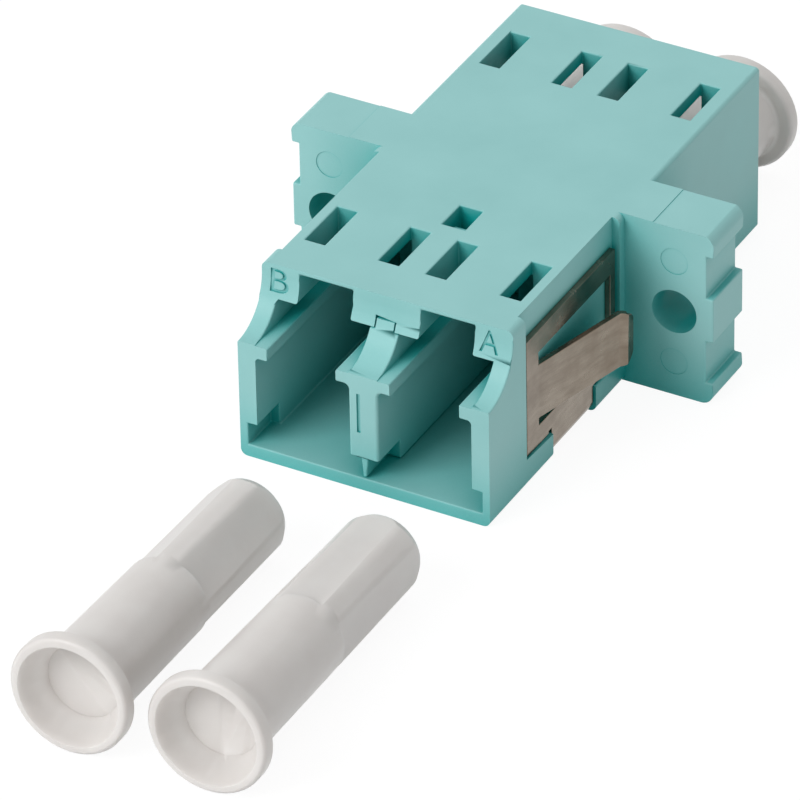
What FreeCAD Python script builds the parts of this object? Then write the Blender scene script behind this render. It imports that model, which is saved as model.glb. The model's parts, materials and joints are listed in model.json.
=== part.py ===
"""Duplex fibre coupler (adapter) with a screw flange, a folded spring clip and four dust caps.

Frame: X runs across the two ports, Y runs along the body from the front ports to the rear ports,
Z is up. The origin is midway between the two screw holes, on the front face of the flange.
All sizes are in millimetres.
"""
import FreeCAD
import Part
import math
import os

from FreeCAD import Vector

os.makedirs("parts", exist_ok=True)

# Moulded body
BODY_WIDTH = 12.9
BODY_HEIGHT = 9.2
FRONT_REACH = 10.9
REAR_REACH = 10.95
REAR_WIDTH = 12.7
REAR_HEIGHT = 8.9
FRONT_EDGE_ROUND = 0.35
REAR_EDGE_ROUND = 0.2
FLOOR_THICKNESS = 0.65
MID_WEB_THICKNESS = 0.7

# Open mouth below the front ports
LIP_REACH = 2.4
LIP_HEIGHT = 6.25
MOUTH_RELIEF_DEPTH = 2.1
MOUTH_RELIEF_HEIGHT = 1.8
MOUTH_RELIEF_WALL = 0.4

# Ports
PORT_PITCH = 6.25
PORT_AXIS_HEIGHT = 3.28
SIDE_WALL = 0.9
DIVIDER_THICKNESS = 1.5
RAIL_HEIGHT = 5.56
RAIL_THICKNESS = 0.66
RAIL_WIDTH = 0.65
RAIL_FILLET = 0.22
GALLERY_HEIGHT = 1.31
LATCH_SLOT_WIDTH = 2.77
ROOF_THICKNESS = 0.73
LEAD_IN_RISE = 0.53
LEAD_IN_DEPTH = 0.9

# Windows through the top
CATCH_WINDOW_WIDTH = 1.04
CATCH_WINDOW_LENGTH = 3.1
CATCH_LAND = 2.42
SNAP_WINDOW_WIDTH = 1.18
SNAP_WINDOW_LENGTH = 1.75
SNAP_WINDOW_LAND = 6.4

# Flange
FLANGE_WIDTH = 22.0
FLANGE_THICKNESS = 3.05
FLANGE_CORNER_RADIUS = 0.6
FLANGE_END_RELIEF = 0.38
FLANGE_MID_RIB = 2.35
FLANGE_OUTER_RIB = 1.15
EAR_WIDTH = 3.1
EAR_TOP_DROP = 0.03
SCREW_SPACING = 18.0
SCREW_HOLE_DIAMETER = 2.3
EJECTOR_MARK_DIAMETER = 1.4
EJECTOR_MARK_DEPTH = 0.03
EJECTOR_MARK_OFFSET = 2.75

# Sleeves and the tubes that hold them
SLEEVE_DIAMETER = 1.6
SLEEVE_BORE = 1.25
SLEEVE_LENGTH = 6.8
SLEEVE_SLOT = 0.3
SLEEVE_CLEARANCE = 0.05
TUBE_DIAMETER = 2.8
TUBE_END_BORE = 1.56
TUBE_END_LIP = 0.45

# Front insert with the divider between the front ports
INSERT_PLATE_THICKNESS = 1.2
INSERT_CLEARANCE = 0.05
SPINE_WIDTH = 0.9
SPINE_RISE = 0.4
SPINE_CLEARANCE = 0.08
SNAP_NUB_RISE = 0.65
SNAP_NUB_CLEARANCE = 0.15
SNAP_NUB_RAMP = 0.7
TEE_WIDTH = 2.76
TEE_FILLET = 0.25
STEM_ROUND = 0.15
WEB_THICKNESS = 0.38
WEB_TAPER = 0.1
STEM_GROOVE_WIDTH = 0.18
STEM_GROOVE_DEPTH = 0.08
STEM_GROOVE_LENGTH = 2.1
STEM_GROOVE_OFFSET = 0.33

# Folded clip and its seat in the body
SHEET = 0.3
SHEET_BEND_RADIUS = 0.3
COLLAR_LENGTH = 1.2
BEAD_LENGTH = 0.5
CLIP_SEAT_DEPTH = 0.4
CLIP_SEAT_HEIGHT = 1.42
CLIP_CLEARANCE = 0.06
CLIP_END_GAP = 0.25
CLIP_TOP_HEIGHT = 7.7
STRAP_SEAT_DEPTH = 0.35
STRAP_LENGTH = 4.1
STRAP_LAND = 3.84
STRAP_NOTCH = 0.3
TAB_WINDOW_LAND = 1.15
TAB_WINDOW_REAR_LAND = 0.5
TAB_WINDOW_BOTTOM = 2.52
TAB_WINDOW_TOP = 6.52
TAB_BOTTOM = 2.9
TAB_TOP = 5.8
TAB_HINGE_LAND = 0.15
TAB_LENGTH = 5.6
TAB_ANGLE = 14.5
TOE_LENGTH = 0.8
TOE_ANGLE = 36.0
TOE_CORNER_RADIUS = 0.65

# Dust caps
CAP_LENGTH = 16.8
CAP_HEAD_DIAMETER = 5.85
CAP_HEAD_THICKNESS = 0.9
CAP_HEAD_CHAMFER = 0.2
CAP_SHAFT_DIAMETER = 4.3
CAP_TIP_DIAMETER = 4.02
CAP_TIP_BEVEL = 0.18
CAP_TIP_BEVEL_LENGTH = 0.45
CAP_NECK_CHAMFER = 0.25
CAP_FLATS = 3.64
CAP_FLATS_LENGTH = 7.8
CAP_CUP_MOUTH = 5.0
CAP_CUP_FLOOR = 3.6
CAP_CUP_DEPTH = 1.5
CAP_BORE = 3.1
CAP_BORE_DEPTH = 8.0
LOOSE_CAP_LEFT = (-1.88, -36.6)
LOOSE_CAP_RIGHT = (4.83, -36.3)
LOOSE_CAP_TURN = 1.4
LOOSE_CAP_ROLLS = (42.0, 2.0)

# Places worked out from the sizes above
HALF_WIDTH = BODY_WIDTH / 2
BASE = -BODY_HEIGHT / 2
TOP = BODY_HEIGHT / 2
PORT_FACE = -FRONT_REACH
LIP_FRONT = PORT_FACE - LIP_REACH
REAR_END = FLANGE_THICKNESS + REAR_REACH
REAR_BASE = TOP - REAR_HEIGHT
MID_PLANE = FLANGE_THICKNESS / 2
MID_WEB_REAR = MID_PLANE + MID_WEB_THICKNESS
FLOOR = BASE + FLOOR_THICKNESS
REAR_FLOOR = REAR_BASE + FLOOR_THICKNESS
RAIL_UNDER = BASE + RAIL_HEIGHT
RAIL_TOP = RAIL_UNDER + RAIL_THICKNESS
GALLERY_TOP = RAIL_TOP + GALLERY_HEIGHT
SLOT_TOP = TOP - ROOF_THICKNESS
CAVITY_HALF = HALF_WIDTH - SIDE_WALL
DIVIDER_HALF = DIVIDER_THICKNESS / 2
TEE_HALF = TEE_WIDTH / 2
PORT_X = PORT_PITCH / 2
PORT_AXIS = BASE + PORT_AXIS_HEIGHT
TUBE_REACH = SLEEVE_LENGTH / 2 + SLEEVE_CLEARANCE + TUBE_END_LIP
CLIP_SEAT_HALF = HALF_WIDTH - CLIP_SEAT_DEPTH
CLIP_SEAT_FRONT = PORT_FACE + COLLAR_LENGTH
CLIP_SEAT_REAR = -BEAD_LENGTH
CLIP_FRONT = CLIP_SEAT_FRONT + CLIP_END_GAP
CLIP_REAR = CLIP_SEAT_REAR - CLIP_END_GAP
TAB_WINDOW_FRONT = CLIP_FRONT + TAB_WINDOW_LAND
TAB_WINDOW_REAR = CLIP_REAR - TAB_WINDOW_REAR_LAND
STRAP_FRONT = PORT_FACE + STRAP_LAND
STRAP_REAR = STRAP_FRONT + STRAP_LENGTH
SPINE_TOP = GALLERY_TOP + SPINE_RISE
SNAP_WINDOW_FRONT = PORT_FACE + SNAP_WINDOW_LAND
BEYOND = 1.0
WINDOW_OVERLAP = 0.2


def box(x0, x1, y0, y1, z0, z1):
    """Block between two corners."""
    return Part.makeBox(x1 - x0, y1 - y0, z1 - z0, Vector(x0, y0, z0))


def tube_along_y(x, z, diameter, y0, y1):
    """Round bar along Y."""
    return Part.makeCylinder(diameter / 2, y1 - y0, Vector(x, y0, z), Vector(0, 1, 0))


def outline(points, radii=None):
    """Closed wire through the points, with an arc at each corner that has a radius."""
    radii = radii or {}
    count = len(points)
    starts, ends = [], []
    edges = []
    for i, corner in enumerate(points):
        radius = radii.get(i, 0.0)
        if radius == 0.0:
            starts.append(corner)
            ends.append(corner)
            continue
        back = (points[i - 1] - corner).normalize()
        ahead = (points[(i + 1) % count] - corner).normalize()
        half_angle = back.getAngle(ahead) / 2
        reach = radius / math.tan(half_angle)
        middle = (back + ahead).normalize()
        centre = corner + middle * (radius / math.sin(half_angle))
        start = corner + back * reach
        end = corner + ahead * reach
        edges.append(Part.Arc(start, centre - middle * radius, end).toShape())
        starts.append(start)
        ends.append(end)
    for i in range(count):
        nxt = (i + 1) % count
        if (starts[nxt] - ends[i]).Length > 1e-7:
            edges.append(Part.LineSegment(ends[i], starts[nxt]).toShape())
    return Part.Wire(Part.__sortEdges__(edges))


def prism(points, direction, radii=None):
    """Solid swept from an outline along a straight direction."""
    return Part.Face(outline(points, radii)).extrude(direction)


def at_x(x, pairs):
    """Points of an outline in the plane at x, from (y, z) pairs."""
    return [Vector(x, y, z) for y, z in pairs]


def at_y(y, pairs):
    """Points of an outline in the plane at y, from (x, z) pairs."""
    return [Vector(x, y, z) for x, z in pairs]


def mirrored(shape):
    """Copy of a shape on the other side of the middle plane X = 0."""
    return shape.mirror(Vector(0, 0, 0), Vector(1, 0, 0))


def both_sides(shape):
    """The shape and its mirror image."""
    return [shape, mirrored(shape)]


def each_port(make):
    """One shape for each port, at -X and at +X."""
    return [make(-PORT_X), make(PORT_X)]


def lip_profile(x, rear, bottom, top):
    """Outline seen from the side: the lip, the quarter arc rising to the port face and a square rear end."""
    lip_top = BASE + LIP_HEIGHT
    return at_x(x, [(LIP_FRONT, bottom), (rear, bottom), (rear, top), (PORT_FACE, top),
                    (PORT_FACE, lip_top), (LIP_FRONT, lip_top)])


def lip_prism(x0, x1, rear, bottom, top):
    """Solid with the side profile of the lip between two planes of constant X."""
    return prism(lip_profile(x0, rear, bottom, top), Vector(x1 - x0, 0, 0), {4: LIP_REACH})


def front_block():
    """Front half of the body with its lip, before the ports are cut."""
    solid = lip_prism(-HALF_WIDTH, HALF_WIDTH, MID_PLANE, BASE, TOP)
    return round_long_edges(solid, HALF_WIDTH, (BASE, TOP), FRONT_EDGE_ROUND)


def rear_block():
    """Rear half of the body, a little slimmer than the front."""
    half = REAR_WIDTH / 2
    solid = box(-half, half, MID_PLANE, REAR_END, REAR_BASE, TOP)
    return round_long_edges(solid, half, (REAR_BASE, TOP), REAR_EDGE_ROUND)


def round_long_edges(solid, half_width, heights, radius):
    """Fillet on the four outer edges that run along Y."""
    chosen = []
    for edge in solid.Edges:
        bounds = edge.BoundBox
        along_y = bounds.YLength > 1.0 and bounds.XLength < 1e-6 and bounds.ZLength < 1e-6
        outer = abs(abs(bounds.XMin) - half_width) < 1e-6
        level = any(abs(bounds.ZMin - height) < 1e-6 for height in heights)
        if along_y and outer and level:
            chosen.append(edge)
    return solid.makeFillet(radius, chosen)


def flange():
    """Two ears in one plate, with screw holes and a ribbed outer end on each ear."""
    half = FLANGE_WIDTH / 2
    corners = at_y(0, [(-half, BASE), (half, BASE), (half, TOP), (-half, TOP)])
    radii = {corner: FLANGE_CORNER_RADIUS for corner in range(4)}
    plate = prism(corners, Vector(0, FLANGE_THICKNESS, 0), radii)
    relief_half = (BODY_HEIGHT - 2 * FLANGE_OUTER_RIB - FLANGE_MID_RIB) / 2
    low = FLANGE_MID_RIB / 2
    cuts = []
    for z0 in (low, -low - relief_half):
        cuts += both_sides(box(half - FLANGE_END_RELIEF, half + BEYOND, -BEYOND, FLANGE_THICKNESS + BEYOND,
                               z0, z0 + relief_half))
    cuts += both_sides(box(half - EAR_WIDTH, half + BEYOND, -BEYOND, FLANGE_THICKNESS + BEYOND,
                           TOP - EAR_TOP_DROP, TOP + BEYOND))
    hole_x = SCREW_SPACING / 2
    cuts += both_sides(tube_along_y(hole_x, 0, SCREW_HOLE_DIAMETER, -BEYOND, FLANGE_THICKNESS + BEYOND))
    for z in (EJECTOR_MARK_OFFSET, -EJECTOR_MARK_OFFSET):
        cuts += both_sides(tube_along_y(hole_x, z, EJECTOR_MARK_DIAMETER, -BEYOND, EJECTOR_MARK_DEPTH))
    return plate.cut(cuts)


def cavity_half_outline(inner, floor):
    """Right half of the port section: plug pocket, rail, latch gallery and latch slot."""
    slot_in = PORT_X - LATCH_SLOT_WIDTH / 2
    slot_out = PORT_X + LATCH_SLOT_WIDTH / 2
    half = CAVITY_HALF
    return [(inner, floor), (half, floor), (half, RAIL_UNDER), (half - RAIL_WIDTH, RAIL_UNDER),
            (half - RAIL_WIDTH, RAIL_TOP), (half, RAIL_TOP), (half, GALLERY_TOP), (slot_out, GALLERY_TOP),
            (slot_out, SLOT_TOP), (slot_in, SLOT_TOP), (slot_in, GALLERY_TOP), (inner, GALLERY_TOP)]


def front_cavity():
    """Space of both front ports in one, because the insert brings the divider."""
    points = at_y(LIP_FRONT - BEYOND, cavity_half_outline(0.0, FLOOR))
    half = prism(points, Vector(0, MID_PLANE - LIP_FRONT + BEYOND, 0), {2: RAIL_FILLET})
    groove_half = SPINE_WIDTH / 2 + SPINE_CLEARANCE
    groove_end = SNAP_WINDOW_FRONT + SNAP_WINDOW_LENGTH
    groove_top = SPINE_TOP + SPINE_CLEARANCE
    groove = box(-groove_half, groove_half, LIP_FRONT, groove_end, GALLERY_TOP, groove_top)
    relief_half = HALF_WIDTH - MOUTH_RELIEF_WALL
    relief = box(-relief_half, relief_half, LIP_FRONT - BEYOND, LIP_FRONT + MOUTH_RELIEF_DEPTH,
                 FLOOR, BASE + MOUTH_RELIEF_HEIGHT)
    return both_sides(half) + [groove, relief]


def rear_cavities():
    """The two rear ports, with the divider and the rails moulded in one with the body."""
    points = at_y(MID_WEB_REAR, cavity_half_outline(DIVIDER_HALF, REAR_FLOOR))
    port = prism(points, Vector(0, REAR_END - MID_WEB_REAR + BEYOND, 0), {2: RAIL_FILLET})
    rail = box(DIVIDER_HALF, TEE_HALF, MID_WEB_REAR, REAR_END, RAIL_UNDER, RAIL_TOP)
    return both_sides(port.cut(rail))


def latch_lead_in(x, face, inward):
    """Sloping ceiling at the mouth of a latch slot."""
    half = LATCH_SLOT_WIDTH / 2
    points = [Vector(x - half, face, SLOT_TOP), Vector(x - half, face + inward * LEAD_IN_DEPTH, SLOT_TOP),
              Vector(x - half, face, SLOT_TOP + LEAD_IN_RISE)]
    return prism(points, Vector(LATCH_SLOT_WIDTH, 0, 0))


def catch_windows(x, face, inward):
    """Two windows in the top for the ears of one plug latch, open to the latch slot between them."""
    near = face + inward * CATCH_LAND
    far = near + inward * CATCH_WINDOW_LENGTH
    y0, y1 = min(near, far), max(near, far)
    slot_half = LATCH_SLOT_WIDTH / 2
    reach = slot_half + CATCH_WINDOW_WIDTH
    below = GALLERY_TOP - WINDOW_OVERLAP
    return [box(x - reach, x - slot_half, y0, y1, below, TOP + BEYOND),
            box(x + slot_half, x + reach, y0, y1, below, TOP + BEYOND),
            box(x - reach, x + reach, y0, y1, below, SLOT_TOP)]


def clip_seat():
    """Recess in both sides of the body and across its underside, in which the clip lies flush."""
    cuts = both_sides(box(CLIP_SEAT_HALF, HALF_WIDTH + BEYOND, CLIP_SEAT_FRONT, CLIP_SEAT_REAR,
                          BASE + CLIP_SEAT_HEIGHT, TOP + BEYOND))
    front = STRAP_FRONT - CLIP_CLEARANCE
    length = STRAP_LENGTH + 2 * CLIP_CLEARANCE
    outer = HALF_WIDTH + BEYOND
    band = box(-outer, outer, front, front + length, BASE - BEYOND, BASE + CLIP_SEAT_HEIGHT)
    side = CLIP_SEAT_HALF
    bottom = BASE + STRAP_SEAT_DEPTH
    core = at_y(front, [(-side, bottom), (side, bottom), (side, TOP), (-side, TOP)])
    corner = SHEET_BEND_RADIUS + CLIP_CLEARANCE
    band = band.cut(prism(core, Vector(0, length, 0), {0: corner, 1: corner}))
    return cuts + [band]


def sleeve_tube(x, inward):
    """Tube round one alignment sleeve, from the middle plane to its end lip."""
    start = MID_PLANE if inward > 0 else MID_PLANE - TUBE_REACH
    return tube_along_y(x, PORT_AXIS, TUBE_DIAMETER, start, start + TUBE_REACH)


def sleeve_pocket(x):
    """Space for one sleeve in both tubes, with the smaller openings through their end lips."""
    half = SLEEVE_LENGTH / 2 + SLEEVE_CLEARANCE
    bore = SLEEVE_DIAMETER + 2 * SLEEVE_CLEARANCE
    pocket = tube_along_y(x, PORT_AXIS, bore, MID_PLANE - half, MID_PLANE + half)
    reach = TUBE_REACH + BEYOND
    return pocket.fuse(tube_along_y(x, PORT_AXIS, TUBE_END_BORE, MID_PLANE - reach, MID_PLANE + reach))


def make_housing():
    """One moulded piece: body, flange, middle web, rear divider and rear sleeve tubes."""
    solid = front_block().fuse([rear_block(), flange()])
    cuts = front_cavity() + rear_cavities() + clip_seat()
    for x in (-PORT_X, PORT_X):
        for face, inward in ((PORT_FACE, 1), (REAR_END, -1)):
            cuts.append(latch_lead_in(x, face, inward))
            cuts += catch_windows(x, face, inward)
    half = SNAP_WINDOW_WIDTH / 2
    cuts.append(box(-half, half, SNAP_WINDOW_FRONT, SNAP_WINDOW_FRONT + SNAP_WINDOW_LENGTH,
                    GALLERY_TOP - WINDOW_OVERLAP, TOP + BEYOND))
    solid = solid.cut(cuts)
    solid = solid.fuse(each_port(lambda x: sleeve_tube(x, 1)))
    return solid.cut(each_port(sleeve_pocket)).removeSplitter()


def divider_wall():
    """Wall between the front ports with the flat head that guides the shoulders of both plugs."""
    back = MID_PLANE - INSERT_PLATE_THICKNESS
    floor = FLOOR + INSERT_CLEARANCE
    wall_top = GALLERY_TOP - INSERT_CLEARANCE
    stem, head = DIVIDER_HALF, TEE_HALF
    section = [(-stem, floor), (stem, floor), (stem, RAIL_UNDER), (head, RAIL_UNDER), (head, RAIL_TOP),
               (stem, RAIL_TOP), (stem, wall_top), (-stem, wall_top), (-stem, RAIL_TOP), (-head, RAIL_TOP),
               (-head, RAIL_UNDER), (-stem, RAIL_UNDER)]
    wall = prism(at_y(LIP_FRONT, section), Vector(0, back - LIP_FRONT, 0), {2: TEE_FILLET, 11: TEE_FILLET})
    wall = wall.common(lip_prism(-head, head, back, floor, TOP))
    upright = [edge for edge in wall.Edges if is_stem_edge(edge)]
    return wall.makeFillet(STEM_ROUND, upright)


def is_stem_edge(edge):
    """True for the two upright front edges of the divider's stem."""
    bounds = edge.BoundBox
    at_front = abs(bounds.YMin - LIP_FRONT) < 1e-6 and bounds.YLength < 1e-6
    on_stem = bounds.XLength < 1e-6 and abs(abs(bounds.XMin) - DIVIDER_HALF) < 1e-6
    return at_front and on_stem and bounds.ZMax < RAIL_UNDER


def mouth_web():
    """Thin web that carries the divider's stem down to the floor where the mouth is relieved."""
    head = WEB_THICKNESS / 2
    foot = head - WEB_TAPER
    floor = FLOOR + INSERT_CLEARANCE
    top = BASE + MOUTH_RELIEF_HEIGHT
    web = at_y(LIP_FRONT + INSERT_CLEARANCE, [(-head, top), (-foot, floor), (foot, floor), (head, top)])
    return prism(web, Vector(0, MOUTH_RELIEF_DEPTH, 0))


def guide_spine():
    """Narrow ridge on top of the divider that slides in the groove of the body, with its snap nub."""
    half = SPINE_WIDTH / 2
    bottom = GALLERY_TOP - 2 * INSERT_CLEARANCE
    end = SNAP_WINDOW_FRONT + SNAP_WINDOW_LENGTH - SNAP_NUB_CLEARANCE
    ridge = box(-half, half, LIP_FRONT, end, bottom, SPINE_TOP)
    ridge = ridge.common(lip_prism(-half, half, end, BASE, TOP))
    nub_half = SNAP_WINDOW_WIDTH / 2 - SNAP_NUB_CLEARANCE
    nub_front = SNAP_WINDOW_FRONT + SNAP_NUB_CLEARANCE
    nub_top = SPINE_TOP + SNAP_NUB_RISE
    nub_outline = at_x(-nub_half, [(nub_front, bottom), (end, bottom), (end, SPINE_TOP),
                                   (end - SNAP_NUB_RAMP, nub_top), (nub_front, nub_top)])
    return ridge.fuse(prism(nub_outline, Vector(2 * nub_half, 0, 0)))


def make_sleeve_retainer():
    """Insert that closes the sleeve pockets from the front and divides the front ports."""
    back = MID_PLANE
    front = back - INSERT_PLATE_THICKNESS
    half = CAVITY_HALF - INSERT_CLEARANCE
    low = FLOOR + INSERT_CLEARANCE
    high = RAIL_UNDER - INSERT_CLEARANCE
    corners = at_y(front, [(-half, low), (half, low), (half, high), (-half, high)])
    plate = prism(corners, Vector(0, back - front, 0), {2: RAIL_FILLET, 3: RAIL_FILLET})
    block = box(-TEE_HALF, TEE_HALF, front, back, high - INSERT_CLEARANCE, GALLERY_TOP - INSERT_CLEARANCE)
    relief = box(-DIVIDER_HALF, DIVIDER_HALF, LIP_FRONT - BEYOND, LIP_FRONT + MOUTH_RELIEF_DEPTH,
                 BASE, BASE + MOUTH_RELIEF_HEIGHT)
    solid = plate.fuse([block, divider_wall().cut(relief), mouth_web(), guide_spine()])
    solid = solid.fuse(each_port(lambda x: sleeve_tube(x, -1)))
    groove_z = RAIL_UNDER - STEM_GROOVE_LENGTH - STEM_GROOVE_OFFSET
    groove = box(-STEM_GROOVE_OFFSET, -STEM_GROOVE_OFFSET + STEM_GROOVE_WIDTH, LIP_FRONT - BEYOND,
                 LIP_FRONT + STEM_GROOVE_DEPTH, groove_z, groove_z + STEM_GROOVE_LENGTH)
    return solid.cut(each_port(sleeve_pocket) + [groove]).removeSplitter()


def make_alignment_sleeve(x):
    """Split ceramic sleeve that lines up the two ferrules."""
    start = MID_PLANE - SLEEVE_LENGTH / 2
    end = MID_PLANE + SLEEVE_LENGTH / 2
    ring = tube_along_y(x, PORT_AXIS, SLEEVE_DIAMETER, start, end)
    slot = box(x - SLEEVE_SLOT / 2, x + SLEEVE_SLOT / 2, start, end, PORT_AXIS, PORT_AXIS + SLEEVE_DIAMETER)
    return ring.cut([tube_along_y(x, PORT_AXIS, SLEEVE_BORE, start, end), slot])


def clip_fold():
    """The folded strip of the clip, before its side plates are cut out."""
    inner = CLIP_SEAT_HALF
    outer = inner + SHEET
    base_in = BASE + STRAP_SEAT_DEPTH
    base_out = base_in - SHEET
    top = BASE + CLIP_TOP_HEIGHT
    section = [(-outer, base_out), (outer, base_out), (outer, top), (inner, top),
               (inner, base_in), (-inner, base_in), (-inner, top), (-outer, top)]
    bend = SHEET_BEND_RADIUS
    radii = {0: bend + SHEET, 1: bend + SHEET, 4: bend, 5: bend}
    return prism(at_y(CLIP_FRONT, section), Vector(0, CLIP_REAR - CLIP_FRONT, 0), radii)


def clip_blank_outline():
    """Flat shape of one side plate and the strap below it, seen from the side."""
    plate_low = BASE + CLIP_SEAT_HEIGHT + CLIP_CLEARANCE
    low = BASE - BEYOND
    high = TOP + BEYOND
    notch = STRAP_FRONT - STRAP_NOTCH
    notch_top = plate_low + STRAP_NOTCH / 2
    return [(CLIP_FRONT, high), (CLIP_FRONT, plate_low), (notch, plate_low), (notch, notch_top),
            (STRAP_FRONT, notch_top), (STRAP_FRONT, low), (STRAP_REAR, low), (STRAP_REAR, plate_low),
            (CLIP_REAR, plate_low), (CLIP_REAR, high)]


def spring_tab():
    """Tab cut out of a side plate and flared outwards towards the flange, with a turned-out toe."""
    flare = math.radians(TAB_ANGLE)
    toe = math.radians(TAB_ANGLE + TOE_ANGLE)
    along = Vector(math.sin(flare), math.cos(flare), 0)
    toe_along = Vector(math.sin(toe), math.cos(toe), 0)
    out = Vector(math.cos(flare), -math.sin(flare), 0)
    toe_out = Vector(math.cos(toe), -math.sin(toe), 0)
    low = Vector(0, 0, BASE + TAB_BOTTOM)
    height = Vector(0, 0, TAB_TOP - TAB_BOTTOM)
    root_in = Vector(CLIP_SEAT_HALF, TAB_WINDOW_FRONT - TAB_WINDOW_LAND / 2, 0) + low
    root_out = root_in + Vector(SHEET, 0, 0)
    hinge_in = Vector(CLIP_SEAT_HALF, TAB_WINDOW_FRONT + TAB_HINGE_LAND, 0) + low
    hinge_out = hinge_in + Vector(SHEET, -SHEET * math.tan(flare / 2), 0)
    knee_in = hinge_in + along * TAB_LENGTH
    knee_out = knee_in + (out + toe_out).normalize() * (SHEET / math.cos((toe - flare) / 2))
    tip_in = knee_in + toe_along * TOE_LENGTH
    tip_out = tip_in + toe_out * SHEET
    sheet = prism([root_in, hinge_in, knee_in, tip_in, tip_out, knee_out, hinge_out, root_out], height)
    far_back = tip_in - toe_along * 2 * TAB_LENGTH - toe_out * TAB_LENGTH
    far_tip = tip_in - toe_out * TAB_LENGTH
    rounded = prism([far_back, far_tip, far_tip + height, far_back + height], toe_out * 3 * TAB_LENGTH,
                    {1: TOE_CORNER_RADIUS, 2: TOE_CORNER_RADIUS})
    return sheet.common(rounded)


def make_mounting_clip():
    """Spring clip folded from one steel sheet round the underside of the body."""
    reach = HALF_WIDTH + BEYOND
    blank = prism(at_x(-reach, clip_blank_outline()), Vector(2 * reach, 0, 0))
    window = box(0, reach, TAB_WINDOW_FRONT, TAB_WINDOW_REAR, BASE + TAB_WINDOW_BOTTOM, BASE + TAB_WINDOW_TOP)
    return clip_fold().common(blank).cut(both_sides(window)).fuse(both_sides(spring_tab())).removeSplitter()


def cap_profile():
    """Half section of a dust cap: tip at the origin, head at the far end of its axis."""
    tip = CAP_TIP_DIAMETER / 2
    shaft = CAP_SHAFT_DIAMETER / 2
    head = CAP_HEAD_DIAMETER / 2
    bore = CAP_BORE / 2
    head_start = CAP_LENGTH - CAP_HEAD_THICKNESS
    cup_bottom = CAP_LENGTH - CAP_CUP_DEPTH
    neck = CAP_NECK_CHAMFER
    bevel = CAP_HEAD_CHAMFER
    section = [(tip - CAP_TIP_BEVEL, 0), (tip, CAP_TIP_BEVEL_LENGTH), (shaft, head_start - neck),
               (shaft + neck, head_start), (head - bevel, head_start), (head, head_start + bevel),
               (head, CAP_LENGTH - bevel), (head - bevel, CAP_LENGTH), (CAP_CUP_MOUTH / 2, CAP_LENGTH),
               (CAP_CUP_FLOOR / 2, cup_bottom), (0, cup_bottom),
               (0, CAP_BORE_DEPTH), (bore, CAP_BORE_DEPTH), (bore, 0)]
    return outline([Vector(radius, along, 0) for radius, along in section])


def make_cap():
    """Dust cap along +Y from its tip: tapered shaft, four flats on the tip half, dished head."""
    solid = Part.Face(cap_profile()).revolve(Vector(0, 0, 0), Vector(0, 1, 0), 360)
    half = CAP_FLATS / 2
    outer = CAP_HEAD_DIAMETER
    ring = box(-outer, outer, -BEYOND, CAP_FLATS_LENGTH, -outer, outer)
    return solid.cut(ring.cut(box(-half, half, -2 * BEYOND, CAP_FLATS_LENGTH + BEYOND, -half, half)))


def make_rear_cap(x):
    """Cap pushed into a rear port, over the sleeve tube."""
    cap = make_cap()
    cap.translate(Vector(x, MID_WEB_REAR, PORT_AXIS))
    return cap


def make_loose_cap(place, roll):
    """Cap taken off a front port, lying on its head and its tip on the surface below the body."""
    overhang = (CAP_HEAD_DIAMETER - CAP_TIP_DIAMETER) / 2
    origin = Vector(0, 0, 0)
    cap = make_cap()
    cap.rotate(origin, Vector(0, 1, 0), roll)
    cap.translate(Vector(0, -CAP_LENGTH, 0))
    cap.rotate(origin, Vector(0, 0, 1), 180 + LOOSE_CAP_TURN)
    lean = math.degrees(math.asin(overhang / CAP_LENGTH))
    across = Vector(math.cos(math.radians(LOOSE_CAP_TURN)), math.sin(math.radians(LOOSE_CAP_TURN)), 0)
    cap.rotate(origin, across, -lean)
    cap.translate(Vector(place[0], place[1], BASE - cap.BoundBox.ZMin))
    return cap


def main():
    nodes = {
        "housing": make_housing(),
        "sleeve_retainer": make_sleeve_retainer(),
        "alignment_sleeve_b": make_alignment_sleeve(-PORT_X),
        "alignment_sleeve_a": make_alignment_sleeve(PORT_X),
        "mounting_clip": make_mounting_clip(),
        "dust_cap_rear_b": make_rear_cap(-PORT_X),
        "dust_cap_rear_a": make_rear_cap(PORT_X),
        "dust_cap_front_b": make_loose_cap(LOOSE_CAP_LEFT, LOOSE_CAP_ROLLS[0]),
        "dust_cap_front_a": make_loose_cap(LOOSE_CAP_RIGHT, LOOSE_CAP_ROLLS[1]),
    }
    for name, shape in nodes.items():
        bounds = shape.BoundBox
        print(name, shape.ShapeType, "solids", len(shape.Solids), "valid", shape.isValid(),
              "volume", round(shape.Volume, 3), "z", round(bounds.ZMin, 3), round(bounds.ZMax, 3))
        shape.exportStep(os.path.join("parts", name + ".step"))


main()
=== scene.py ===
"""Looks of the duplex fibre coupler: moulded aqua body, folded steel clip, milky dust caps."""
import json
import math

import bmesh
import bpy
from mathutils import Matrix, Vector


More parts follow.
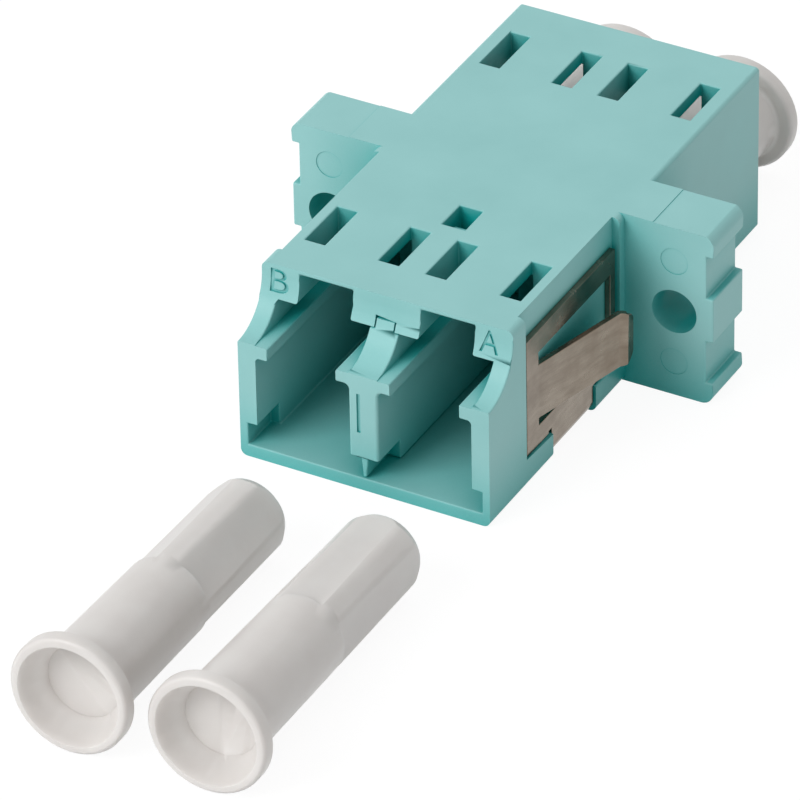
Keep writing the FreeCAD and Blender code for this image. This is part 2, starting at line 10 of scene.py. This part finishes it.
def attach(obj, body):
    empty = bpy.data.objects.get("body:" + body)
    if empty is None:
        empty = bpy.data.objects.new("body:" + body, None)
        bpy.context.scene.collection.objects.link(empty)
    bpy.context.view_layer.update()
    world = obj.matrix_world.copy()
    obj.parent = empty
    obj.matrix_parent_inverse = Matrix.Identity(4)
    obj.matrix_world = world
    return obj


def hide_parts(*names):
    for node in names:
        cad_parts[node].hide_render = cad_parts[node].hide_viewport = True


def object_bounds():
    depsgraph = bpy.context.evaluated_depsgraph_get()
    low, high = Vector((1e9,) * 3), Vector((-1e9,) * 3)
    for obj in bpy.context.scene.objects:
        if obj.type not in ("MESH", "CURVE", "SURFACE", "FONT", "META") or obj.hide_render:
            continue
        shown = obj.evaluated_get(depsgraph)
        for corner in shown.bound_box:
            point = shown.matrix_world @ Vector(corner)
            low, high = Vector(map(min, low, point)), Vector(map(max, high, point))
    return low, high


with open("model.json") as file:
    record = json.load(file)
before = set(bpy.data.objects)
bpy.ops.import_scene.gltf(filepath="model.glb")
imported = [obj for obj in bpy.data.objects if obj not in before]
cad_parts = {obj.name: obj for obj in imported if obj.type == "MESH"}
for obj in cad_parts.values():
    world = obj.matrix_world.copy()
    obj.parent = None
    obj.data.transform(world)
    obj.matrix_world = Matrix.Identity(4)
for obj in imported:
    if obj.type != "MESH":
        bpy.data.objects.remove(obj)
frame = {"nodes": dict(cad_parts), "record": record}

MM = 0.001
CAD_BOX = [list(corner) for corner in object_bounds()]

# Camera of the photograph, found from the body's edges
CAMERA_AZIMUTH = math.radians(29.113)
CAMERA_ELEVATION = math.radians(34.385)
CAMERA_ROLL = math.radians(-1.134)
CAMERA_PLACE = Vector((151.53, -281.94, 211.41)) * MM
CAMERA_LENS = 372.8
SENSOR_WIDTH = 36.0

# Edge rounding: its width on each kind of piece, and which edges have room for it
MOULDED_EDGE = 0.08 * MM
STEEL_EDGE = 0.03 * MM
CAP_EDGE = 0.1 * MM
EDGE_SEGMENTS = 2
THIN_FACE = 2.2
SHARP_ANGLE = math.radians(24)

# Shading normals: where they break, and how strongly large faces pull them
CREASE_ANGLE = math.radians(50)
FLATNESS = 3

# Joining of flat faces and of points that coincide
PLANAR_ANGLE = math.radians(0.5)
WELD_DISTANCE = 0.001 * MM

# Painted shade of the plastic: distance over which its colour is darkened into corners and cavities, where
# shade falls, and the span of openness used
PAINTED_SHADE_REACH = 4.0 * MM
PAINTED_SHADE_SPAN = (0.25, 1.0)
PAINTED_SHADE_SAMPLES = 8

# Port marks, engraved beside the two front ports: letter, its left foot (x, z), width and height
PORT_FACE_Y = -10.9 * MM
LIP_ARC_TOP = 4.05 * MM
LIP_ARC_RADIUS = 2.4 * MM
MARK_DEPTH = 0.1 * MM
MARK_CURVE_STEPS = 4
MARKS = (("B", (-5.98 * MM, 3.18 * MM), (0.94 * MM, 1.17 * MM)),
         ("A", (4.78 * MM, 3.2 * MM), (0.96 * MM, 1.13 * MM)))

# Mouth of each latch slot, cleared in front of its sloping ceiling
PORT_PITCH = 6.25 * MM
LATCH_SLOT_WIDTH = 2.77 * MM
SLOT_MOUTH = ((-11.2 * MM, -10.87 * MM), (3.8 * MM, 4.2 * MM))

# Toe of each tab of the clip: where it bends back, how the tab runs there, the turn and the stretch past it
TOE_BEND = Vector((7.992, -2.67)) * MM
TOE_ROOM = 0.4 * MM
TAB_ANGLE = math.radians(39.4)
TOE_TURN = math.radians(52)
TOE_STRETCH = 1.7

# Floor and surround: how white they are to the camera, and how much they light
FLOOR_HALF = 1.5
FLOOR_GREY = 0.9
FLOOR_GLOW = 1.06
FLOOR_GLOW_SHARE = 0.87
WORLD_LIGHT = 0.41
WORLD_SEEN = 1.0

# Lamps: name, place, power in watts, size
LAMPS = (("key", (-0.28, -0.5, 0.4), 3.15, 0.42),
         ("overhead", (0.0, 0.1, 0.6), 0.7, 0.5))


def srgb(red, green, blue):
    """Linear colour of a display colour given as 0 to 255."""
    def linear(value):
        value = value / 255
        return value / 12.92 if value <= 0.04045 else ((value + 0.055) / 1.055) ** 2.4
    return (linear(red), linear(green), linear(blue), 1.0)


# Colours: painted shade of the aqua in corners and cavities and the aqua's two cloudy tones, steel and its
# dark grain, caps, ceramic
AQUA_AND_PAINTED_SHADE = (srgb(18, 166, 163), srgb(146, 200, 199), srgb(153, 206, 205))
STEEL = (srgb(120, 109, 96), srgb(152, 142, 129))
STEEL_GRAIN = srgb(96, 82, 68)
MILKY = (srgb(216, 212, 209), srgb(221, 218, 215))
CERAMIC = (srgb(226, 224, 214), srgb(240, 239, 232))


class Nodes:
    """Small helper that adds and links shader nodes."""

    def __init__(self, name):
        self.material = bpy.data.materials.new(name)
        self.material.use_nodes = True
        self.tree = self.material.node_tree
        self.shader = self.tree.nodes["Principled BSDF"]
        self.output = self.tree.nodes["Material Output"]

    def add(self, kind, **values):
        node = self.tree.nodes.new(kind)
        for key, value in values.items():
            setattr(node, key, value)
        return node

    def link(self, source, target):
        self.tree.links.new(source, target)

    def coordinates(self, scale=(1.0, 1.0, 1.0)):
        """Object coordinates in metres, stretched by a scale on each axis."""
        place = self.add("ShaderNodeTexCoord")
        mapping = self.add("ShaderNodeMapping")
        mapping.inputs["Scale"].default_value = scale
        self.link(place.outputs["Object"], mapping.inputs["Vector"])
        return mapping.outputs["Vector"]

    def noise(self, vector, scale, detail=4.0, roughness=0.5):
        """Value of a noise texture, 0 to 1."""
        node = self.add("ShaderNodeTexNoise")
        node.inputs["Scale"].default_value = scale
        node.inputs["Detail"].default_value = detail
        node.inputs["Roughness"].default_value = roughness
        self.link(vector, node.inputs["Vector"])
        return node.outputs["Fac"]

    def spread(self, value, low, high, from_low=0.3, from_high=0.7):
        """Maps a texture's value to a range."""
        node = self.add("ShaderNodeMapRange")
        node.inputs["From Min"].default_value = from_low
        node.inputs["From Max"].default_value = from_high
        node.inputs["To Min"].default_value = low
        node.inputs["To Max"].default_value = high
        self.link(value, node.inputs["Value"])
        return node.outputs["Result"]

    def blend(self, factor, first, second):
        """Colour between two colours, each written out or another node's."""
        node = self.add("ShaderNodeMix", data_type="RGBA")
        ends = {"A": first, "B": second}
        for socket in node.inputs:
            if socket.type != "RGBA":
                continue
            end = ends[socket.name]
            if isinstance(end, bpy.types.NodeSocket):
                self.link(end, socket)
            else:
                socket.default_value = end
        self.link(factor, node.inputs["Factor"])
        return next(socket for socket in node.outputs if socket.type == "RGBA")

    def openness(self, distance):
        """How open a place is: 1 on the outside, less in corners and cavities; it drives the plastic's
        painted shade.
        """
        node = self.add("ShaderNodeAmbientOcclusion", samples=PAINTED_SHADE_SAMPLES)
        node.inputs["Distance"].default_value = distance
        return node.outputs["AO"]

    def bump(self, height, strength, distance):
        """Normal of a fine relief."""
        node = self.add("ShaderNodeBump")
        node.inputs["Strength"].default_value = strength
        node.inputs["Distance"].default_value = distance
        self.link(height, node.inputs["Height"])
        return node.outputs["Normal"]


def moulded_plastic(name, painted_shade_colour, dark, light):
    """Satin moulded plastic: faint cloudy colour, painted shade that darkens it in corners and cavities,
    uneven sheen and a fine texture.
    """
    nodes = Nodes(name)
    vector = nodes.coordinates()
    cloud = nodes.noise(vector, scale=260.0, detail=3.0)
    grain = nodes.noise(vector, scale=9000.0, detail=2.0)
    surface = nodes.blend(nodes.spread(cloud, 0.0, 1.0), dark, light)
    # painted shade: the colour turns to a deep aqua where the place is less open, in corners and cavities
    # where shade falls
    painted_shade_factor = nodes.spread(nodes.openness(PAINTED_SHADE_REACH), 0.0, 1.0, *PAINTED_SHADE_SPAN)
    colour = nodes.blend(painted_shade_factor, painted_shade_colour, surface)
    nodes.link(colour, nodes.shader.inputs["Base Color"])
    nodes.link(nodes.spread(cloud, 0.36, 0.46), nodes.shader.inputs["Roughness"])
    nodes.link(nodes.bump(grain, strength=0.12, distance=0.02 * MM), nodes.shader.inputs["Normal"])
    nodes.shader.inputs["Specular IOR Level"].default_value = 0.2
    return nodes.material


def rolled_steel(name):
    """Spring steel sheet: brown-grey, streaked along the roll, with dull patches and a satin gloss."""
    nodes = Nodes(name)
    streak_vector = nodes.coordinates((300.0, 300.0, 9000.0))
    grain_vector = nodes.coordinates((900.0, 500.0, 3600.0))
    patch_vector = nodes.coordinates()
    streak = nodes.noise(streak_vector, scale=1.0, detail=5.0, roughness=0.6)
    grain = nodes.noise(grain_vector, scale=1.0, detail=4.0, roughness=0.6)
    patch = nodes.noise(patch_vector, scale=700.0, detail=4.0)
    sheet = nodes.blend(nodes.spread(patch, 0.0, 1.0), *STEEL)
    colour = nodes.blend(nodes.spread(grain, 0.0, 0.4), sheet, STEEL_GRAIN)
    nodes.link(colour, nodes.shader.inputs["Base Color"])
    nodes.link(nodes.spread(patch, 0.16, 0.3), nodes.shader.inputs["Roughness"])
    nodes.link(nodes.bump(streak, strength=0.25, distance=0.01 * MM), nodes.shader.inputs["Normal"])
    nodes.shader.inputs["Metallic"].default_value = 1.0
    return nodes.material


def milky_plastic(name):
    """Soft translucent plastic of the dust caps."""
    nodes = Nodes(name)
    vector = nodes.coordinates()
    cloud = nodes.noise(vector, scale=420.0, detail=3.0)
    grain = nodes.noise(vector, scale=5000.0, detail=2.0)
    colour = nodes.blend(nodes.spread(cloud, 0.0, 1.0), *MILKY)
    nodes.link(colour, nodes.shader.inputs["Base Color"])
    nodes.link(nodes.spread(cloud, 0.3, 0.4), nodes.shader.inputs["Roughness"])
    nodes.link(nodes.bump(grain, strength=0.1, distance=0.02 * MM), nodes.shader.inputs["Normal"])
    nodes.shader.inputs["Subsurface Weight"].default_value = 0.8
    nodes.shader.inputs["Subsurface Radius"].default_value = (1.0, 1.0, 1.0)
    nodes.shader.inputs["Subsurface Scale"].default_value = 0.7 * MM
    return nodes.material


def ground_ceramic(name):
    """Zirconia of the split sleeves: off-white, ground round its axis."""
    nodes = Nodes(name)
    rings = nodes.noise(nodes.coordinates((200.0, 9000.0, 200.0)), scale=1.0, detail=3.0)
    nodes.link(nodes.blend(nodes.spread(rings, 0.0, 1.0), *CERAMIC), nodes.shader.inputs["Base Color"])
    nodes.link(nodes.spread(rings, 0.2, 0.3), nodes.shader.inputs["Roughness"])
    nodes.link(nodes.bump(rings, strength=0.1, distance=0.005 * MM), nodes.shader.inputs["Normal"])
    return nodes.material


def copy_of(node_name, piece_name):
    """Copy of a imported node's mesh."""
    source = frame["nodes"][node_name]
    mesh = source.data.copy()
    mesh.name = piece_name
    mesh.materials.clear()
    piece = bpy.data.objects.new(piece_name, mesh)
    bpy.context.scene.collection.objects.link(piece)
    return piece


def apply_modifiers(piece):
    """Bakes the piece's modifiers into its mesh."""
    depsgraph = bpy.context.evaluated_depsgraph_get()
    result = bpy.data.meshes.new_from_object(piece.evaluated_get(depsgraph), depsgraph=depsgraph)
    piece.modifiers.clear()
    piece.data = result


def face_place(z):
    """Where the port face stands at a height: flat, then swept forward by the arc of the lip."""
    drop = max(0.0, LIP_ARC_TOP - z)
    return PORT_FACE_Y - LIP_ARC_RADIUS + math.sqrt(LIP_ARC_RADIUS ** 2 - drop ** 2)


def letter_cutter(letter, place, size):
    """Solid letter that stands in the port face, to be cut out of the body."""
    curve = bpy.data.curves.new("mark_" + letter, "FONT")
    curve.body = letter
    curve.extrude = MARK_DEPTH
    curve.resolution_u = MARK_CURVE_STEPS
    flat = bpy.data.objects.new("mark_" + letter, curve)
    bpy.context.scene.collection.objects.link(flat)
    bpy.context.view_layer.update()
    depsgraph = bpy.context.evaluated_depsgraph_get()
    mesh = bpy.data.meshes.new_from_object(flat.evaluated_get(depsgraph), depsgraph=depsgraph)
    bpy.data.objects.remove(flat)
    low = [min(vertex.co[axis] for vertex in mesh.vertices) for axis in range(2)]
    high = [max(vertex.co[axis] for vertex in mesh.vertices) for axis in range(2)]
    scale = [size[axis] / (high[axis] - low[axis]) for axis in range(2)]
    for vertex in mesh.vertices:
        x = place[0] + (vertex.co.x - low[0]) * scale[0]
        z = place[1] + (vertex.co.y - low[1]) * scale[1]
        vertex.co = (x, face_place(z) - vertex.co.z, z)
    return cutter_of(mesh, "mark_" + letter)


def cutter_of(mesh, name):
    """Closed solid made of a mesh, with its faces turned outward."""
    work = bmesh.new()
    work.from_mesh(mesh)
    bmesh.ops.remove_doubles(work, verts=work.verts, dist=WELD_DISTANCE)
    bmesh.ops.recalc_face_normals(work, faces=work.faces)
    work.to_mesh(mesh)
    work.free()
    solid = bpy.data.objects.new(name, mesh)
    bpy.context.scene.collection.objects.link(solid)
    return solid


def slot_mouth_cutter(x):
    """Box in front of a latch slot's sloping ceiling."""
    y_span, z_span = SLOT_MOUTH
    x_span = (x - LATCH_SLOT_WIDTH / 2, x + LATCH_SLOT_WIDTH / 2)
    work = bmesh.new()
    corners = [work.verts.new((a, b, c)) for a in x_span for b in y_span for c in z_span]
    for ring in ((0, 1, 3, 2), (4, 6, 7, 5), (0, 4, 5, 1), (2, 3, 7, 6), (0, 2, 6, 4), (1, 5, 7, 3)):
        work.faces.new([corners[index] for index in ring])
    mesh = bpy.data.meshes.new("slot_mouth")
    work.to_mesh(mesh)
    work.free()
    return cutter_of(mesh, "slot_mouth")


def cut_out(piece, cutter):
    """Cuts one solid out of a piece."""
    cut = piece.modifiers.new("cut", "BOOLEAN")
    cut.operation = "DIFFERENCE"
    cut.solver = "EXACT"
    cut.object = cutter
    apply_modifiers(piece)
    bpy.data.objects.remove(cutter)


def clear_slot_mouths(piece):
    """Clears the mouths of the two latch slots."""
    for x in (-PORT_PITCH / 2, PORT_PITCH / 2):
        cut_out(piece, slot_mouth_cutter(x))


def engrave_marks(piece):
    """Cuts the port letters into the front face of the body."""
    for letter, place, size in MARKS:
        cut_out(piece, letter_cutter(letter, place, size))


def bend_toes(piece):
    """Bends the toe of each tab of the clip back, to run beside the body."""
    along = Vector((math.cos(TAB_ANGLE), math.sin(TAB_ANGLE)))
    across = along.orthogonal()
    turn = Matrix.Rotation(TOE_TURN, 2)
    half_turn = Matrix.Rotation(TOE_TURN / 2, 2)
    work = bmesh.new()
    work.from_mesh(piece.data)
    bmesh.ops.remove_doubles(work, verts=work.verts, dist=WELD_DISTANCE)
    for side in (-1, 1):
        faces = [face for face in work.faces if max(side * vert.co.x for vert in face.verts) > TOE_BEND.x]
        parts = {item for face in faces for item in (face, *face.edges, *face.verts)}
        ordered = [item for group in (work.verts, work.edges, work.faces) for item in group if item in parts]
        bmesh.ops.bisect_plane(work, geom=ordered, dist=WELD_DISTANCE / 10,
                               plane_co=(side * TOE_BEND.x, TOE_BEND.y, 0.0),
                               plane_no=(side * along.x, along.y, 0.0))
        for vert in work.verts:
            place = Vector((side * vert.co.x, vert.co.y)) - TOE_BEND
            reach = place.dot(along)
            if place.x < -TOE_ROOM or reach < -WELD_DISTANCE:
                continue
            if reach > WELD_DISTANCE:
                place = turn @ place
                place.y *= TOE_STRETCH
            else:
                place = half_turn @ across * (place.dot(across) / math.cos(TOE_TURN / 2))
            vert.co.x = side * (TOE_BEND.x + place.x)
            vert.co.y = TOE_BEND.y + place.y
    work.to_mesh(piece.data)
    work.free()


def face_thickness(face):
    """Width of a face taken as a strip."""
    return 2 * face.calc_area() / max(face.calc_perimeter(), WELD_DISTANCE)


def mark_round_edges(piece, width):
    """Joins flat faces and gives a bevel weight to the sharp edges that have room for a rounding."""
    work = bmesh.new()
    work.from_mesh(piece.data)
    bmesh.ops.remove_doubles(work, verts=work.verts, dist=WELD_DISTANCE)
    bmesh.ops.dissolve_limit(work, angle_limit=PLANAR_ANGLE, verts=work.verts, edges=work.edges)
    weight = work.edges.layers.float.new("bevel_weight_edge")
    for edge in work.edges:
        if len(edge.link_faces) != 2:
            continue
        sharp = edge.calc_face_angle(0.0) > SHARP_ANGLE
        roomy = min(face_thickness(face) for face in edge.link_faces) > THIN_FACE * width
        beside = [other for vert in edge.verts for other in vert.link_edges]
        stepped = min(other.calc_length() for other in beside) < width
        edge[weight] = 1.0 if sharp and roomy and not stepped else 0.0
    work.to_mesh(piece.data)
    work.free()


def round_edges(piece, width):
    """Real rounding on the sharp edges."""
    mark_round_edges(piece, width)
    bevel = piece.modifiers.new("edge", "BEVEL")
    bevel.width = width
    bevel.segments = EDGE_SEGMENTS
    bevel.limit_method = "WEIGHT"
    bevel.use_clamp_overlap = False
    apply_modifiers(piece)


def is_smooth(edge):
    """Whether shading runs on over an edge."""
    return len(edge.link_faces) == 2 and edge.calc_face_angle(math.pi) < CREASE_ANGLE


def flat_areas(work):
    """Area of the flat region that each face belongs to."""
    areas = {}
    for start in work.faces:
        if start in areas:
            continue
        region = {start}
        stack = [start]
        while stack:
            for edge in stack.pop().edges:
                if len(edge.link_faces) != 2 or edge.calc_face_angle(math.pi) > PLANAR_ANGLE:
                    continue
                found = [face for face in edge.link_faces if face not in region]
                region.update(found)
                stack.extend(found)
        area = sum(face.calc_area() for face in region)
        areas.update((face, area) for face in region)
    return areas


def fans(vert):
    """Loops round a vertex, grouped by the smooth edges between their faces."""
    left = {loop.face: loop for loop in vert.link_loops}
    while left:
        stack = [next(iter(left))]
        fan = [left.pop(stack[0])]
        while stack:
            for edge in stack.pop().edges:
                if vert not in edge.verts or not is_smooth(edge):
                    continue
                for face in edge.link_faces:
                    if face in left:
                        fan.append(left.pop(face))
                        stack.append(face)
        yield fan


def shade(piece):
    """Shading normals under which large flat faces stay flat and the roundings between them turn."""
    mesh = piece.data
    mesh.shade_smooth()
    work = bmesh.new()
    work.from_mesh(mesh)
    areas = flat_areas(work)
    normals = {}
    for vert in work.verts:
        for fan in fans(vert):
            pulls = [areas[loop.face] ** FLATNESS * loop.calc_angle() for loop in fan]
            most = max(pulls) or 1.0
            turned = (loop.face.normal * (pull / most) for loop, pull in zip(fan, pulls))
            normal = sum(turned, Vector()).normalized()
            normals.update((loop, normal) for loop in fan)
    ordered = [normals[loop] for face in work.faces for loop in face.loops]
    work.free()
    mesh.normals_split_custom_set(ordered)


def dress(node_name, material, body, edge):
    """Shows a node by a copy of itself with rounded edges and a real finish."""
    piece = copy_of(node_name, node_name + "_dressed")
    if node_name == "housing":
        clear_slot_mouths(piece)
        engrave_marks(piece)
    round_edges(piece, edge)
    if node_name == "mounting_clip":
        bend_toes(piece)
    shade(piece)
    piece.data.materials.clear()
    piece.data.materials.append(material)
    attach(piece, body)
    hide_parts(node_name)


def body_of(node_name):
    """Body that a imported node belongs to."""
    bodies = frame["record"]["behaviour"]["bodies"]
    return next(body for body, nodes in bodies.items() if node_name in nodes)


def dress_all():
    """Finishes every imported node."""
    finishes = {
        "aqua_moulding": (moulded_plastic("aqua_moulding", *AQUA_AND_PAINTED_SHADE), MOULDED_EDGE),
        "aqua_insert": (moulded_plastic("aqua_insert", *AQUA_AND_PAINTED_SHADE), MOULDED_EDGE),
        "clip_steel": (rolled_steel("clip_steel"), STEEL_EDGE),
        "cap_plastic": (milky_plastic("cap_plastic"), CAP_EDGE),
        "zirconia": (ground_ceramic("zirconia"), STEEL_EDGE),
    }
    for part in frame["record"]["subparts"]:
        material, edge = finishes[part["material_slot"]]
        dress(part["node"], material, body_of(part["node"]), edge)


def add_floor():
    """Pale floor that stays white to the camera and keeps the object's shadow."""
    mesh = bpy.data.meshes.new("floor")
    low = CAD_BOX[0][2]
    sides = ((-1, -1), (1, -1), (1, 1), (-1, 1))
    corners = [(x * FLOOR_HALF, y * FLOOR_HALF, low) for x, y in sides]
    mesh.from_pydata(corners, [], [(0, 1, 2, 3)])
    floor = bpy.data.objects.new("floor", mesh)
    bpy.context.scene.collection.objects.link(floor)
    nodes = Nodes("floor_surface")
    nodes.shader.inputs["Base Color"].default_value = (FLOOR_GREY, FLOOR_GREY, FLOOR_GREY, 1.0)
    nodes.shader.inputs["Roughness"].default_value = 0.9
    nodes.shader.inputs["Specular IOR Level"].default_value = 0.0
    grain = nodes.noise(nodes.coordinates(), scale=60.0)
    nodes.link(nodes.bump(grain, strength=0.02, distance=0.1 * MM), nodes.shader.inputs["Normal"])
    rays = nodes.add("ShaderNodeLightPath")
    glow = nodes.add("ShaderNodeEmission")
    glow.inputs["Strength"].default_value = FLOOR_GLOW
    seen = nodes.add("ShaderNodeMath", operation="MAXIMUM")
    nodes.link(rays.outputs["Is Camera Ray"], seen.inputs[0])
    nodes.link(rays.outputs["Is Glossy Ray"], seen.inputs[1])
    seen_through = nodes.add("ShaderNodeMath", operation="MAXIMUM")
    nodes.link(seen.outputs[0], seen_through.inputs[0])
    nodes.link(rays.outputs["Is Transmission Ray"], seen_through.inputs[1])
    share = nodes.add("ShaderNodeMath", operation="MULTIPLY")
    share.inputs[1].default_value = FLOOR_GLOW_SHARE
    nodes.link(seen_through.outputs[0], share.inputs[0])
    mix = nodes.add("ShaderNodeMixShader")
    nodes.link(share.outputs[0], mix.inputs[0])
    nodes.link(nodes.shader.outputs[0], mix.inputs[1])
    nodes.link(glow.outputs[0], mix.inputs[2])
    nodes.link(mix.outputs[0], nodes.output.inputs["Surface"])
    mesh.materials.append(nodes.material)


def add_world():
    """Even studio surround: white where it is seen, plain where it lights."""
    world = bpy.data.worlds.new("studio")
    bpy.context.scene.world = world
    world.use_nodes = True
    tree = world.node_tree
    ground = tree.nodes["Background"]
    ground.inputs["Color"].default_value = (1.0, 1.0, 1.0, 1.0)
    rays = tree.nodes.new("ShaderNodeLightPath")
    level = tree.nodes.new("ShaderNodeMapRange")
    level.inputs["To Min"].default_value = WORLD_LIGHT
    level.inputs["To Max"].default_value = WORLD_SEEN
    seen = rays.outputs["Is Camera Ray"]
    for kind in ("Is Glossy Ray", "Is Transmission Ray"):
        either = tree.nodes.new("ShaderNodeMath")
        either.operation = "MAXIMUM"
        tree.links.new(seen, either.inputs[0])
        tree.links.new(rays.outputs[kind], either.inputs[1])
        seen = either.outputs[0]
    tree.links.new(seen, level.inputs["Value"])
    tree.links.new(level.outputs["Result"], ground.inputs["Strength"])


def add_lamp(name, place, power, size):
    """Soft square lamp aimed at the body."""
    lamp = bpy.data.lights.new(name, "AREA")
    lamp.energy = power
    lamp.size = size
    holder = bpy.data.objects.new(name, lamp)
    holder.location = place
    holder.rotation_euler = Vector(place).to_track_quat("Z", "Y").to_euler()
    bpy.context.scene.collection.objects.link(holder)


def add_camera():
    """Camera at the photograph's place."""
    sine, cosine = math.sin(CAMERA_AZIMUTH), math.cos(CAMERA_AZIMUTH)
    reach = math.cos(CAMERA_ELEVATION)
    back = Vector((sine * reach, -cosine * reach, math.sin(CAMERA_ELEVATION)))
    level_right = Vector((cosine, sine, 0.0))
    level_up = back.cross(level_right)
    right = level_right * math.cos(CAMERA_ROLL) + level_up * math.sin(CAMERA_ROLL)
    up = level_up * math.cos(CAMERA_ROLL) - level_right * math.sin(CAMERA_ROLL)
    camera = bpy.data.cameras.new("camera")
    camera.lens = CAMERA_LENS
    camera.sensor_width = SENSOR_WIDTH
    camera.clip_start = 0.01
    camera.clip_end = 10.0
    holder = bpy.data.objects.new("camera", camera)
    turn = Matrix((right, up, back)).transposed()
    holder.matrix_world = Matrix.Translation(CAMERA_PLACE) @ turn.to_4x4()
    bpy.context.scene.collection.objects.link(holder)
    bpy.context.scene.camera = holder


bpy.context.scene.view_settings.view_transform = "Standard"
dress_all()
add_floor()
add_world()
for lamp_values in LAMPS:
    add_lamp(*lamp_values)
add_camera()
